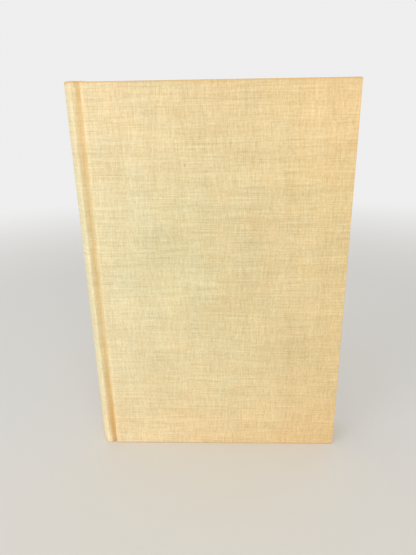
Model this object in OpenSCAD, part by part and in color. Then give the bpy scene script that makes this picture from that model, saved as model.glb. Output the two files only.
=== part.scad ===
// Hardback book bound in plain linen cloth, standing on its tail.
// X runs from the spine to the fore-edge, Y from the front cover to the back cover, Z from tail to head.
// The origin is under the middle of the closed book.

/* [Boards] */
// Width of a board, from its spine side to its fore-edge side
board_w = 134.5; // [90:0.5:200]
// Height of a board, from tail to head
board_h = 209.3; // [140:0.1:300]
// Thickness of a board
board_t = 2.3; // [2.1:0.1:3.2]
// Radius of a board's fore-edge corner at the head
head_corner_r = 0.7; // [0.5:0.1:4]
// Radius of a board's fore-edge corner at the tail, rounder because bumps have worn it
tail_corner_r = 2; // [0.5:0.1:4]

/* [Cover cloth] */
// Thickness of the cloth with its paper backing
cloth_t = 0.35; // [0.25:0.01:0.45]
// Width of the cloth that is turned in over the boards and the inlay
turn_in = 15; // [8:0.5:22]
// How far the cloth cap over the spine stands above the boards at the head
cap_rise = 0.4; // [0.2:0.05:1]

/* [Joint] */
// Width of the groove between a board and the wall of the shoulder
groove_w = 3; // [2.4:0.1:6]
// Radius at the bottom of the groove
groove_r = 0.55; // [0.3:0.05:0.7]
// Height of the groove's straight wall against the shoulder
groove_wall = 0.1; // [0:0.05:0.2]
// Radius where the groove's wall turns over onto the shoulder
shoulder_r = 0.95; // [0.92:0.01:1.1]
// Width of the shoulder's flat top, up to the round of the spine
shoulder_w = 1.25; // [0.9:0.05:3]
// How far the shoulder's top lies under the cover's outer face
shoulder_drop = 0.4; // [0.1:0.05:0.5]

/* [Spine] */
// Height of the spine's round over its two shoulders
spine_round = 5.6; // [3.5:0.1:8]
// Radius that blends the shoulder's top into the round
round_blend_r = 1.5; // [1.2:0.1:2]
// Thickness of the card inlay that stiffens the spine
inlay_t = 0.5; // [0.3:0.05:0.7]
// Hollow between the turned-in cloth and the lined back of the pages
hollow = 0.3; // [0.2:0.05:0.5]

/* [Pages] */
// Thickness of the pressed pages
pages_t = 18.6; // [12:0.1:40]
// How far the covers stand past the pages at head, tail and fore-edge
square_w = 3; // [2:0.1:5]
// Depth of the hollow curve of the fore-edge
fore_edge_dip = 3.2; // [1.5:0.1:6]
// Gap left between a shoulder of the pages and the cloth of the groove
shoulder_gap = 0.3; // [0.2:0.05:0.6]

/* [Endpapers] */
// Thickness of an endpaper
endpaper_t = 0.2; // [0.12:0.01:0.3]
// Air between a pastedown and its free leaf in the closed book
leaf_gap = 0.3; // [0.2:0.05:1]
// How far the pastedown stops short of the cover's three outer edges
pastedown_margin = 3; // [2:0.1:6]

/* [Linings] */
// Thickness of the gauze glued round the back of the pages
mull_t = 0.25; // [0.15:0.01:0.3]
// Distance from the gauze to the turned-in cloth at head and tail
mull_gap = 1; // [0.5:0.5:20]
// Width of the gauze that is glued to the inside of a board
mull_flange_w = 28; // [15:1:40]
// Thickness of the paper lining over the gauze
lining_t = 0.2; // [0.12:0.01:0.3]
// Film of glue between two layers round the back
glue_t = 0.05; // [0.03:0.01:0.1]

/* [Headbands] */
// Thickness of the bead that shows above the pages
bead_d = 1.8; // [1.2:0.1:2.5]
// Thickness of the tape that holds the bead to the back of the pages
tape_t = 0.25; // [0.15:0.01:0.3]

/* [Hidden] */

// Arcs are drawn in steps of this many degrees, and in at least two steps
ARC_STEP = 4;
ARC_LEAST = 2;
BAND_SIDES = 96;
BEAD_SIDES = 32;
CLOTH = [0.83, 0.77, 0.62];
GREYBOARD = [0.55, 0.50, 0.43];
PAPER = [0.90, 0.86, 0.76];
GAUZE = [0.86, 0.84, 0.78];

// Depths are measured inwards from a cover's outer face
board_back = cloth_t + board_t;
mull_back = board_back + mull_t;
case_t = board_back + cloth_t;
pastedown_back = case_t + endpaper_t;
leaf_front = pastedown_back + leaf_gap;
pages_depth = leaf_front + endpaper_t;
book_t = pages_t + 2 * pages_depth;
half_t = book_t / 2;

// The spine's outer round passes through the top corners of both shoulders
shoulder_y = half_t - shoulder_drop;
spine_r = (shoulder_y * shoulder_y + spine_round * spine_round) / (2 * spine_round);
spine_reach = groove_w + shoulder_r + shoulder_w + spine_round;

cover_w = board_w + 2 * cloth_t;
cover_h = board_h + 2 * cloth_t;
book_w = cover_w + spine_reach;
spine_h = cover_h + cap_rise;

fore_edge_x = book_w / 2;
cover_x = fore_edge_x - cover_w;
hinge_x = cover_x - groove_w / 2;
groove_wall_x = cover_x - groove_w;
shoulder_x = groove_wall_x - shoulder_r;
round_x = spine_r - book_w / 2;
groove_depth = shoulder_drop + shoulder_r + groove_wall + groove_r;
groove_floor_y = half_t - groove_depth;
ridge_y = shoulder_y - shoulder_r;
blend_y = shoulder_y - round_blend_r;
blend_x = round_x - sqrt(pow(spine_r - round_blend_r, 2) - blend_y * blend_y);
round_angle = asin(blend_y / (spine_r - round_blend_r));

// The layers round the back, from the outside inwards
inlay_r = spine_r - cloth_t;
turned_r = inlay_r - inlay_t;
lining_r = turned_r - cloth_t - hollow;
mull_r = lining_r - lining_t - glue_t;
pages_r = mull_r - max(mull_t, tape_t) - glue_t;

pages_shoulder_x = groove_wall_x - 2 * cloth_t - shoulder_gap;
pages_shoulder_angle = acos((round_x - pages_shoulder_x) / pages_r);
mull_face_x = pages_shoulder_x + glue_t + mull_t;
mull_angle = acos((round_x - mull_face_x) / mull_r);
mull_inner_angle = acos((round_x - mull_face_x + mull_t) / (mull_r - mull_t));
pages_x = fore_edge_x - square_w - cloth_t;
pages_bottom = square_w;
pages_top = cover_h - square_w;
fore_edge_r = (pages_t * pages_t / 4 + fore_edge_dip * fore_edge_dip) / (2 * fore_edge_dip);
fore_edge_angle = asin(pages_t / 2 / fore_edge_r);

window_x = fore_edge_x - turn_in;
flange_x = cover_x + mull_flange_w;
mull_bottom = turn_in + mull_gap;
mull_top = cover_h - turn_in - mull_gap;
tape_h = turn_in - square_w;

// Points of an arc about [x, y], with the same steps at every radius
function arc(x, y, r, from, to) =
    let (steps = max(ARC_LEAST, ceil(abs(to - from) / ARC_STEP)))
    [for (i = [0 : steps]) let (a = from + (to - from) * i / steps) [x + r * cos(a), y + r * sin(a)]];

function backwards(points) = [for (i = [len(points) - 1 : -1 : 0]) points[i]];

function mirrored(points) = [for (p = backwards(points)) [p[0], -p[1]]];

// The round of the spine at one radius, from the front to the back
function round_back(r) = arc(round_x, 0, r, 180 + round_angle, 180 - round_angle);

// The spine's cloth in the front joint, from the hinge line over the shoulder to the round,
// at an inset from its outer face
function joint_path(inset) = concat(
    [[hinge_x, -groove_floor_y + inset]],
    arc(groove_wall_x + groove_r, -groove_floor_y - groove_r, groove_r + inset, 90, 180),
    arc(shoulder_x, -ridge_y, shoulder_r - inset, 0, -90),
    arc(blend_x, -blend_y, round_blend_r - inset, -90, -180 + round_angle)
);

// The whole way from one hinge line round the spine to the other
function spine_path(joint_inset, round_inset) = concat(
    joint_path(joint_inset),
    round_back(spine_r - round_inset),
    mirrored(joint_path(joint_inset))
);

// A cover's outline seen from the front, with its two fore-edge corners rounded
module plate_outline(inset) {
    right = fore_edge_x - inset;
    head_r = head_corner_r + cloth_t - inset;
    tail_r = tail_corner_r + cloth_t - inset;
    polygon(concat(
        [[cover_x + inset, cover_h - inset], [cover_x + inset, inset]],
        arc(right - tail_r, inset + tail_r, tail_r, -90, 0),
        arc(right - head_r, cover_h - inset - head_r, head_r, 0, 90)
    ));
}

// A rectangle seen from the front, by its four sides
module panel(left, right, bottom, top) {
    translate([left, bottom]) square([right - left, top - bottom]);
}

// A flat layer of the front cover, by its depth under the outer face
module layer(depth, thickness) {
    rotate([90, 0, 0])
        translate([0, 0, half_t - depth - thickness])
            linear_extrude(height = thickness) children();
}

// A section seen from the head, drawn out from one height to another
module upright(bottom, top) {
    translate([0, 0, bottom]) linear_extrude(height = top - bottom) children();
}

module at_the_back() {
    mirror([0, 1, 0]) children();
}

module board() {
    color(GREYBOARD) layer(cloth_t, board_t) plate_outline(cloth_t);
}

// The cover's half of the groove, from the hinge line to the board
module cover_groove(thickness) {
    centre_x = cover_x - groove_r;
    centre_y = -groove_floor_y - groove_r;
    polygon(concat(
        [[hinge_x, -groove_floor_y]],
        arc(centre_x, centre_y, groove_r, 90, 0),
        arc(centre_x, centre_y, groove_r + thickness, 0, 90),
        [[hinge_x, -groove_floor_y + thickness]]
    ));
}

// The cloth over a board: outer face, three turned-in sides and its half of the groove
module cover_cloth() {
    color(CLOTH) difference() {
        union() {
            layer(0, case_t) plate_outline(0);
            upright(0, cover_h) cover_groove(cloth_t);
            upright(0, turn_in) cover_groove(2 * cloth_t);
            upright(cover_h - turn_in, cover_h) cover_groove(2 * cloth_t);
        }
        layer(cloth_t, board_t) plate_outline(cloth_t);
        layer(board_back, cloth_t) panel(cover_x, window_x, turn_in, cover_h - turn_in);
        layer(groove_depth + cloth_t, case_t - groove_depth - cloth_t)
            panel(cover_x, cover_x + cloth_t, turn_in, cover_h - turn_in);
    }
}

// The gauze on a board's inside, between the turned-in cloth at head and tail
module mull_flange() {
    color(GAUZE) layer(board_back, mull_t) panel(hinge_x, flange_x, mull_bottom, mull_top);
}

// The leaf glued down inside a cover, which sinks into the window between the turned-in edges
module pastedown() {
    color(PAPER) difference() {
        union() {
            layer(case_t, endpaper_t)
                panel(hinge_x, fore_edge_x - pastedown_margin,
                      pastedown_margin, cover_h - pastedown_margin);
            layer(board_back, pastedown_back - board_back)
                panel(flange_x, window_x, turn_in, cover_h - turn_in);
        }
        layer(board_back + endpaper_t, cloth_t)
            panel(flange_x + endpaper_t, window_x - endpaper_t,
                  turn_in + endpaper_t, cover_h - turn_in - endpaper_t);
    }
}

// The free leaf against the pages, with the fold that leads to the pastedown
module flyleaf() {
    fold_x = pages_shoulder_x + glue_t;
    color(PAPER) upright(pages_bottom, pages_top) polygon([
        [hinge_x, case_t - half_t],
        [hinge_x, pastedown_back - half_t],
        [fold_x + endpaper_t, pastedown_back - half_t],
        [fold_x + endpaper_t, leaf_front - half_t],
        [pages_x, leaf_front - half_t],
        [pages_x, pages_depth - half_t],
        [fold_x, pages_depth - half_t],
        [fold_x, case_t - half_t]
    ]);
}

// The pages: rounded back, two shoulders, hollow fore-edge
module text_block() {
    fore_edge_centre = pages_x + fore_edge_r * cos(fore_edge_angle);
    color(PAPER) upright(pages_bottom, pages_top) polygon(concat(
        [[pages_shoulder_x, -pages_t / 2]],
        arc(round_x, 0, pages_r, 180 + pages_shoulder_angle, 180 - pages_shoulder_angle),
        [[pages_shoulder_x, pages_t / 2]],
        arc(fore_edge_centre, 0, fore_edge_r, 180 - fore_edge_angle, 180 + fore_edge_angle)
    ));
}

// The gauze glued round the back and over both shoulders, up to the hinge lines
module spine_mull() {
    outer = concat(
        [[hinge_x, board_back - half_t], [mull_face_x, board_back - half_t]],
        arc(round_x, 0, mull_r, 180 + mull_angle, 180 - mull_angle),
        [[mull_face_x, half_t - board_back], [hinge_x, half_t - board_back]]
    );
    inner = concat(
        [[hinge_x, mull_back - half_t], [mull_face_x - mull_t, mull_back - half_t]],
        arc(round_x, 0, mull_r - mull_t, 180 + mull_inner_angle, 180 - mull_inner_angle),
        [[mull_face_x - mull_t, half_t - mull_back], [hinge_x, half_t - mull_back]]
    );
    color(GAUZE) upright(mull_bottom, mull_top) polygon(concat(outer, backwards(inner)));
}

// A layer that follows the round only, by its outer radius
module round_layer(r, thickness) {
    polygon(concat(round_back(r), backwards(round_back(r - thickness))));
}

module spine_lining() {
    color(PAPER) upright(pages_bottom, pages_top) round_layer(lining_r, lining_t);
}

module spine_inlay() {
    color(GREYBOARD) upright(cloth_t, spine_h - cloth_t) round_layer(inlay_r, inlay_t);
}

// The bead and its tape at the head of the pages
module head_band() {
    bead_x = pages_r + glue_t + tape_t / 2 - bead_d / 2;
    color(CLOTH) translate([round_x, 0, pages_top])
        rotate([0, 0, 180 - round_angle])
            rotate_extrude(angle = 2 * round_angle, $fn = BAND_SIDES) {
                translate([bead_x, bead_d / 2 + glue_t]) circle(d = bead_d, $fn = BEAD_SIDES);
                translate([pages_r + glue_t, -tape_h]) square([tape_t, tape_h + bead_d / 2]);
            }
}

module tail_band() {
    translate([0, 0, cover_h]) mirror([0, 0, 1]) head_band();
}

// One end of the spine's cloth, doubled round the inlay and through both joints
module spine_turn_in() {
    polygon(concat(
        spine_path(0, 0),
        backwards(spine_path(2 * cloth_t, 2 * cloth_t + inlay_t))
    ));
}

// The cloth between the two hinge lines, with the inlay's pocket
module spine_cloth() {
    color(CLOTH) difference() {
        union() {
            upright(0, spine_h) polygon(concat(
                spine_path(0, 0),
                backwards(spine_path(cloth_t, cloth_t))
            ));
            upright(0, turn_in) spine_turn_in();
            upright(spine_h - turn_in, spine_h) spine_turn_in();
        }
        upright(cloth_t, spine_h - cloth_t) round_layer(inlay_r, inlay_t);
    }
}

text_block();
spine_mull();
spine_lining();
head_band();
tail_band();
flyleaf();  // front_flyleaf
at_the_back() flyleaf();  // back_flyleaf
spine_inlay();
spine_cloth();
board();  // front_board
cover_cloth();  // front_cloth
mull_flange();  // front_mull
pastedown();  // front_pastedown
at_the_back() board();  // back_board
at_the_back() cover_cloth();  // back_cloth
at_the_back() mull_flange();  // back_mull
at_the_back() pastedown();  // back_pastedown
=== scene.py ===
"""Dresses a cloth-bound hardback book in linen, board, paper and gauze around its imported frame.

The file is laid out as an add-on and is run as a script. Each piece is modelled in millimetres and brought
to metres when it is finished. X runs from the spine to the fore-edge, Y from the front cover to the back
cover and Z from tail to head; the book stands on its tail.
"""

import math
import random
from functools import partialmethod

import bmesh
import bpy
import numpy as np
from bpy.props import FloatProperty, FloatVectorProperty, IntProperty, PointerProperty
from mathutils import Matrix, Vector


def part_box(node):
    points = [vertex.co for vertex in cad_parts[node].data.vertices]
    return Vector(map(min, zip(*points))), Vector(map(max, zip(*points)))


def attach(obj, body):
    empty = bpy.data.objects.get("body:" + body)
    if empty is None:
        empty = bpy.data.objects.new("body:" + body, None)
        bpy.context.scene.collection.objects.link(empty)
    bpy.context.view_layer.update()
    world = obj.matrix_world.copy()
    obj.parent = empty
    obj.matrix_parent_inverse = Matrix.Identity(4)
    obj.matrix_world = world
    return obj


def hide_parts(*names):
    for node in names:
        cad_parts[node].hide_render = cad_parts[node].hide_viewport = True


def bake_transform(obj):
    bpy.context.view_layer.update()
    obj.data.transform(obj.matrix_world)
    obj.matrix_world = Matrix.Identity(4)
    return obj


bl_info = {
    "name": "Cloth-bound book",
    "version": (1, 0, 0),
    "blender": (4, 5, 0),
    "location": "3D View > Sidebar > Book",
    "description": "Dresses a hardback book in linen, board, paper and gauze",
    "category": "Object",
}

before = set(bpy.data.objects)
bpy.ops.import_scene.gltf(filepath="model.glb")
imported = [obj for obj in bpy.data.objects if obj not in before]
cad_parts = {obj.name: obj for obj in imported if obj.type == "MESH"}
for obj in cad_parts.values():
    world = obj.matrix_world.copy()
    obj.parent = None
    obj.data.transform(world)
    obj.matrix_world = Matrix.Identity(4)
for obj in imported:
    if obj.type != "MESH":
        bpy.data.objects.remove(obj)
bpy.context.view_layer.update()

MM = 1000.0
PHOTO_H = 555
SENSOR = 36.0

# How far each effect makes the linen's red, green and blue lighter or darker
SPINE_SIDE = (0.07, 0.097, 0.172)
# Paler spine: partly faded cloth, partly painted light on its round and shoulders
SPINE_FADING_AND_LIGHT = (0.08, 0.12, 0.18)
# Along the boards' edges at the joints: a painted highlight on the rounded edge, with some rubbing of the
# cloth
BOARD_EDGE_HIGHLIGHT_AND_RUB = (0.08, 0.06, 0.04)
FORE_SIDE = (-0.006, -0.074, -0.142)
FORE_HEAD = (0.05, 0.045, 0.04)
FORE_RIM = (0.07, 0.0, -0.06)
AT_HEAD = (0.046, -0.007, -0.031)
AT_TAIL = (0.069, -0.004, -0.027)
IN_MIDDLE = (-0.048, -0.011, -0.013)
# Darker at the tail of a joint: partly browning, partly a painted shadow
JOINT_TAIL_BROWNING_AND_SHADOW = (-0.12, -0.13, -0.14)
JOINT_HEAD = (0.06, 0.06, 0.04)
MOTTLE_TONE = (0.12, 0.15, 0.19)
MOTTLE_HUE = (-0.10, 0.02, 0.14)
SLUBS = (0.29, 0.37, 0.60)
GRAIN = (0.22, 0.28, 0.45)
# Painted shade between the threads of the weave
THREAD_GAP_SHADE = (-0.10, -0.16, -0.24)

# Where the linen's large fields end, and the middle and radius of its two round ones, in millimetres
SPINE_SIDE_TO = 10.0
HEAD_FROM = 150.0
TAIL_TO = 60.0
JOINT_TAIL_TO = 75.0
MIDDLE_FIELD = ((-25.0, 0.0, 120.0), 60.0)
FORE_HEAD_FIELD = ((65.0, 0.0, 180.0), 75.0)

# Numbers of parts that rounded, bending and flat places are divided into
ROUND_PARTS = 48
FLAT_PARTS = 4
SHOULDER_PARTS = 7
SLOPE_PARTS = 6
GROOVE_PARTS = 14
BLEND_PARTS = 5
EDGE_PARTS = 6
RIM_PARTS = 4
CORNER_PARTS = 8
BAND_PARTS = 40
FLANGE_PARTS = 24
FOLD_PARTS = 8
THREAD_PARTS = (14, 6)
CORE_PARTS = 16
FLOOR_PARTS = 96

# Places in millimetres that are nearer than this count as one
NEAR = 1e-3
# A face is upright while its normal points up less than the first, and level once it points up more than the
# second; it looks inwards once its normal points to the pages more than the third
UPRIGHT = 0.1
LEVEL = 0.7
INWARDS = 0.02
# How nearly a seam's face looks along its joint's slope, and the angle from which cloth turns over a corner
ALONG_SLOPE = 0.99
CORNER_ANGLE = math.radians(35)

# Where the cloth is cut so that it can be shaped: past its rims, at its ends, and beside the joint, up to
# where the cloth of the cover stops rising to the spine's cap
RIM_HOLD = 0.06
END_BANDS = (2.0, 4.0, 7.0, 11.0)
LIFT_REACH = 4.5
# How far past the joint the pasted gauze and paper are divided finely
BEND_REACH = 1.0

# Each lamp's name, place in metres, width in metres and power in watts
LAMPS = (("key", (0.35, -1.5, 0.6), 1.2, 6.55), ("fill", (-1.1, -1.0, 0.5), 1.0, 4.8))
WORLD_COLOUR = (1.0, 0.99, 0.97)
WORLD_STRENGTH = 0.713
# In metres: how far the floor reaches, and between which distances it fades into the background
FLOOR_RADIUS = 4.0
FADE_FROM, FADE_TO = 0.3, 1.0


def node_box(node):
    """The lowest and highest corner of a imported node, in millimetres."""
    low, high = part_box(node)
    return low * MM, high * MM


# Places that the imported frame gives, in millimetres
CLOTH_LOW, CLOTH_HIGH = node_box("front_cloth")
BOARD_LOW = node_box("front_board")[0]
SPINE_LOW, SPINE_HIGH = node_box("spine_cloth")
PAGES_LOW, PAGES_HIGH = node_box("text_block")
GAUZE_LOW, GAUZE_HIGH = node_box("front_mull")
PASTE_LOW, PASTE_HIGH = node_box("front_pastedown")
LEAF_LOW, LEAF_HIGH = node_box("front_flyleaf")
BAND_LOW, BAND_HIGH = node_box("head_band")
MULL_HIGH_Y = node_box("spine_mull")[1].y
HALF_T = -CLOTH_LOW.y
CLOTH_T = BOARD_LOW.y - CLOTH_LOW.y
SKIN_T = CLOTH_T - 0.01
CASE_T = CLOTH_HIGH.y - CLOTH_LOW.y
COVER_X = BOARD_LOW.x - CLOTH_T
FORE_X = CLOTH_HIGH.x
HINGE_X = CLOTH_LOW.x
WALL_X = 2 * HINGE_X - COVER_X
COVER_H = CLOTH_HIGH.z
SPINE_H = SPINE_HIGH.z
SHOULDER_Y = -SPINE_LOW.y
FOLD_X = LEAF_LOW.x
GAUZE_FACE_X = FOLD_X + 0.25
BAND_TAPE = 0.25
COVER_MIDDLE = Vector(((COVER_X + FORE_X) / 2, -HALF_T, COVER_H / 2))


def length(name, mm, text):
    """A size property in metres, given in millimetres."""
    return FloatProperty(name=name, description=text, default=mm / MM, min=0.0, precision=5, unit="LENGTH")


def angle(name, degrees, text):
    """An angle property, given in degrees."""
    return FloatProperty(name=name, description=text, default=math.radians(degrees), subtype="ANGLE")


def pixels(name, value, text):
    """A property in pixels of the picture."""
    return FloatProperty(name=name, description=text + ", in pixels of the picture", default=value)


def colour(name, rgb, text):
    """A colour property."""
    return FloatVectorProperty(name=name, description=text, default=rgb, min=0.0, max=1.0, subtype="COLOR")


class BookSizes(bpy.types.PropertyGroup):
    """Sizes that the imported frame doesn't give."""

    groove_r: length("Groove radius", 0.55, "Radius at the bottom of a joint groove, on the board's side")
    groove_soft_r: length("Groove soft radius", 1.3, "Radius at a joint groove's bottom, on the spine's side")
    groove_drop: length("Groove drop", 1.35, "How far a groove's bottom lies under the shoulder's top")
    groove_slope: angle("Groove slope", 29, "Slope between the shoulder and the groove")
    shoulder_r: length("Shoulder radius", 1.3, "Radius where the groove turns over onto the shoulder")
    board_edge_r: length("Board edge radius", 0.6, "Radius of the cloth over a board's edge along the joint")
    spine_round: length("Spine round", 5.6, "Height of the spine's round over its shoulders")
    blend_r: length("Blend radius", 1.5, "Radius between the shoulder and the round")
    inlay_t: length("Inlay", 0.5, "Thickness of the card that stiffens the spine")
    turn_in: length("Turn-in", 15.0, "Width of the cloth turned in over the boards")
    rim_r: length("Rim radius", 0.33, "Radius of the cloth where it turns over a board's edge")
    head_corner_r: length("Head corner", 1.05, "Radius of a cover's fore-edge corner at the head")
    end_fill: length("Joint end fill", 0.9, "How far the turned-in cloth fills a groove at its ends")
    tail_swell: length("Tail swell", 0.3, "How far the shoulders swell at the tail")
    tail_corner_r: length("Tail corner", 2.35, "Radius of a cover's worn fore-edge corner at the tail")
    paper_t: length("Endpaper", 0.2, "Thickness of an endpaper")
    gauze_t: length("Gauze", 0.25, "Thickness of the gauze round the back of the pages")
    bead_d: length("Headband bead", 1.8, "Thickness of a headband's bead")
    thread_d: length("Headband thread", 0.34, "Thickness of the thread wound round a headband")
    thread_pitch: length("Linen thread", 0.5, "Distance between two threads of the linen")
    leaves: IntProperty(name="Leaves", description="Leaves whose edges show", default=150, min=20)


class BookColours(bpy.types.PropertyGroup):
    """Colours of the finishes, as linear values."""

    linen: colour("Linen", (0.78, 0.649, 0.369), "Threads of the linen")
    toned: colour("Toned linen", (0.72, 0.418, 0.124), "Linen browned in the joints and at the rims")
    foxing: colour("Foxing", (0.62, 0.36, 0.13), "Small brown specks")
    paper: colour("Endpaper", (0.80, 0.73, 0.56), "Endpapers")
    page_edge: colour("Page edges", (0.88, 0.74, 0.50), "Edges of the pages")
    page_gap: colour("Page gaps", (0.62, 0.44, 0.23), "Shade between two leaves")
    board: colour("Greyboard", (0.32, 0.27, 0.20), "Boards and spine inlay")
    gauze: colour("Gauze", (0.78, 0.74, 0.64), "Gauze round the back of the pages")
    lining: colour("Lining", (0.55, 0.42, 0.27), "Paper lining over the gauze")
    band: colour("Headband", (0.82, 0.74, 0.54), "Thread of the headbands")


class BookStage(bpy.types.PropertyGroup):
    """Camera and light."""

    tilt: angle("Tilt", 18.90, "How far the camera looks down")
    yaw: angle("Yaw", 1.77, "How far the camera looks past the cover's normal")
    roll: angle("Roll", -0.85, "How far the camera is turned about its own view")
    right: length("Right", 2.41, "The cover's middle to the right of the camera's axis")
    down: length("Down", 6.16, "The cover's middle below the camera's axis")
    away: length("Distance", 243.4, "The cover's middle along the camera's axis")
    focal_px: pixels("Focal length", 441.1, "Focal length")
    axis_right: pixels("Axis right", 9.85, "Camera's axis right of the picture's middle")
    axis_up: pixels("Axis up", 2.22, "Camera's axis above the picture's middle")
    floor: colour("Floor", (0.80, 0.79, 0.77), "Floor")
    world: colour("Background", (0.86, 0.86, 0.86), "What the camera sees past the floor")


def values():
    """The sizes in millimetres, as plain numbers under their own names."""
    sizes = bpy.context.scene.book_sizes
    found = {}
    for name, declared in BookSizes.__annotations__.items():
        in_metres = declared.keywords.get("unit") == "LENGTH"
        found[name] = getattr(sizes, name) * (MM if in_metres else 1)
    return type("Sizes", (), found)


# Modelling


def free_hands():
    """Leaves edit mode and deselects everything."""
    if bpy.context.object and bpy.context.object.mode != "OBJECT":
        bpy.ops.object.mode_set(mode="OBJECT")
    bpy.ops.object.select_all(action="DESELECT")


def take(*pieces):
    """Selects these pieces and no others, and makes the last one active."""
    free_hands()
    for piece in pieces:
        piece.select_set(True)
    bpy.context.view_layer.objects.active = pieces[-1]


def edit(piece):
    """Opens a piece in edit mode with nothing selected."""
    take(piece)
    bpy.ops.object.mode_set(mode="EDIT")
    bpy.ops.mesh.select_mode(type="VERT")
    bpy.ops.mesh.select_all(action="DESELECT")


def select_all():
    """Selects all of the piece in edit mode."""
    bpy.ops.mesh.select_all(action="SELECT")


def turn_outwards():
    """Makes all faces of the piece in edit mode point outwards."""
    select_all()
    bpy.ops.mesh.normals_make_consistent(inside=False)


def pick(kind, test, what):
    """Selects the vertices, edges or faces in edit mode that pass a test; stops the script if none does."""
    piece = bpy.context.object
    bpy.ops.mesh.select_mode(type=kind)
    bpy.ops.mesh.select_all(action="DESELECT")
    mesh = bmesh.from_edit_mesh(piece.data)
    mesh.normal_update()
    parts = {"VERT": mesh.verts, "EDGE": mesh.edges, "FACE": mesh.faces}[kind]
    found = [part for part in parts if test(part)]
    if not found:
        raise RuntimeError(f"{piece.name}: found no {what}")
    for part in found:
        part.select_set(True)
    mesh.select_flush_mode()
    bmesh.update_edit_mesh(piece.data)


def erase(test, what):
    """Deletes the faces that pass a test."""
    pick("FACE", test, what)
    bpy.ops.mesh.delete(type="FACE")


def round_off(test, what, radius, parts):
    """Rounds the edges that pass a test."""
    pick("EDGE", test, what)
    bpy.ops.mesh.bevel(offset=radius, offset_type="OFFSET", segments=parts, affect="EDGES",
                       clamp_overlap=False)


def cut(axis, at):
    """Cuts the whole piece in edit mode square to an axis, given by its number."""
    normal = Vector([float(axis == i) for i in range(3)])
    select_all()
    bpy.ops.mesh.bisect(plane_co=normal * at, plane_no=normal, threshold=1e-5)


class Section:
    """A section seen from the head, drawn from one vertex by extruding and spinning it."""

    def __init__(self, name, x, y, z=0.0):
        free_hands()
        bpy.ops.mesh.primitive_plane_add(size=1, location=(x, y, z))
        bpy.ops.object.transform_apply(location=True)
        self.piece = bpy.context.object
        self.piece.name = self.piece.data.name = name
        bpy.ops.object.mode_set(mode="EDIT")
        bpy.ops.mesh.select_mode(type="VERT")
        select_all()
        bpy.ops.mesh.merge(type="CENTER")
        self.at = Vector((x, y, z))
        self.path = [self.at.to_2d()]

    def line(self, x, y, parts=1):
        """A straight run to a place, in one or more parts."""
        step = (Vector((x, y, self.at.z)) - self.at) / parts
        for _ in range(parts):
            bpy.ops.mesh.extrude_region_move(TRANSFORM_OT_translate={"value": step})
            self.at = self.at + step
            self.path.append(self.at.to_2d())

    def arc(self, x, y, degrees, parts):
        """A turn about a centre; positive angles run anticlockwise seen from the head."""
        centre = Vector((x, y, self.at.z))
        # The operator turns clockwise about the axis it is given
        bpy.ops.mesh.spin(steps=parts, angle=math.radians(degrees), center=centre, axis=(0, 0, -1))
        spoke = self.at - centre
        for i in range(1, parts + 1):
            turned = Matrix.Rotation(math.radians(degrees) * i / parts, 3, "Z") @ spoke
            self.path.append((centre + turned).to_2d())
        self.at = centre + turned

    def close(self):
        """Joins the end to the start and fills the section."""
        self.line(*self.path[0])
        self.path.pop()
        select_all()
        bpy.ops.mesh.remove_doubles(threshold=1e-4)
        select_all()
        bpy.ops.mesh.edge_face_add()

    def rise(self, height):
        """Draws the section out to a height."""
        select_all()
        bpy.ops.mesh.extrude_region_move(TRANSFORM_OT_translate={"value": (0, 0, height)})
        turn_outwards()

    def rise_open(self, height, *outward):
        """Draws an open section out to a height, with most of its faces turned a given way."""
        self.rise(height)
        mesh = bmesh.from_edit_mesh(self.piece.data)
        mesh.normal_update()
        if sum(face.normal.dot(Vector(outward)) * face.calc_area() for face in mesh.faces) < 0:
            bpy.ops.mesh.flip_normals()
        return self.piece


def mirrored(piece, name, scale, centre=(0, 0, 0)):
    """A copy of a piece, mirrored about a centre, with its faces the right way round."""
    take(piece)
    bpy.ops.object.duplicate(linked=False)
    copy = bpy.context.object
    copy.name = copy.data.name = name
    edit(copy)
    select_all()
    bpy.ops.transform.resize(value=scale, center_override=centre)
    bpy.ops.mesh.flip_normals()
    free_hands()
    return copy


def mirror_to_back(piece, name):
    """A copy of a piece, mirrored to the back of the book."""
    return mirrored(piece, name, (1, -1, 1))


def thicken(piece, thickness):
    """Gives a skin its thickness inwards."""
    take(piece)
    solidify = piece.modifiers.new("thickness", "SOLIDIFY")
    solidify.thickness = thickness
    solidify.offset = -1
    solidify.use_even_offset = True
    bpy.ops.object.modifier_apply(modifier=solidify.name)


def dress(piece, material):
    """Gives a piece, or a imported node, its one material."""
    piece.data.materials.clear()
    piece.data.materials.append(material)


def hand_over(piece, material, stands_for, cover=None, smooth=40.0):
    """Brings a piece to metres with its material, and hides the imported node that it stands for.

    A cover's piece runs across the joint, from the groove's wall to the board, and stays where it was
    modelled. The others ride on the block.
    """
    take(piece)
    bpy.ops.object.shade_smooth_by_angle(angle=math.radians(smooth))
    piece.scale = (1 / MM, 1 / MM, 1 / MM)
    bpy.ops.object.transform_apply(location=False, rotation=False, scale=True)
    free_hands()
    dress(piece, material)
    if cover:
        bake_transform(piece)
    else:
        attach(piece, "block")
    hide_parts(stands_for)


def nearest(points, places):
    """How far along a path its nearest point to each place lies, and how far away that is."""
    start, step = points[:-1], points[1:] - points[:-1]
    run = np.linalg.norm(step, axis=1)
    kept = run > 1e-6
    start, step, run = start[kept], step[kept], run[kept]
    reached = np.concatenate([[0], np.cumsum(run)[:-1]])
    offset = places[:, None, :] - start[None]
    along = np.clip(np.einsum("ijk,jk->ij", offset, step) / run**2, 0, 1)
    gap = np.linalg.norm(offset - along[:, :, None] * step[None], axis=2)
    best = gap.argmin(axis=1)
    rows = np.arange(len(places))
    return reached[best] + along[rows, best] * run[best], gap[rows, best]


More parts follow.
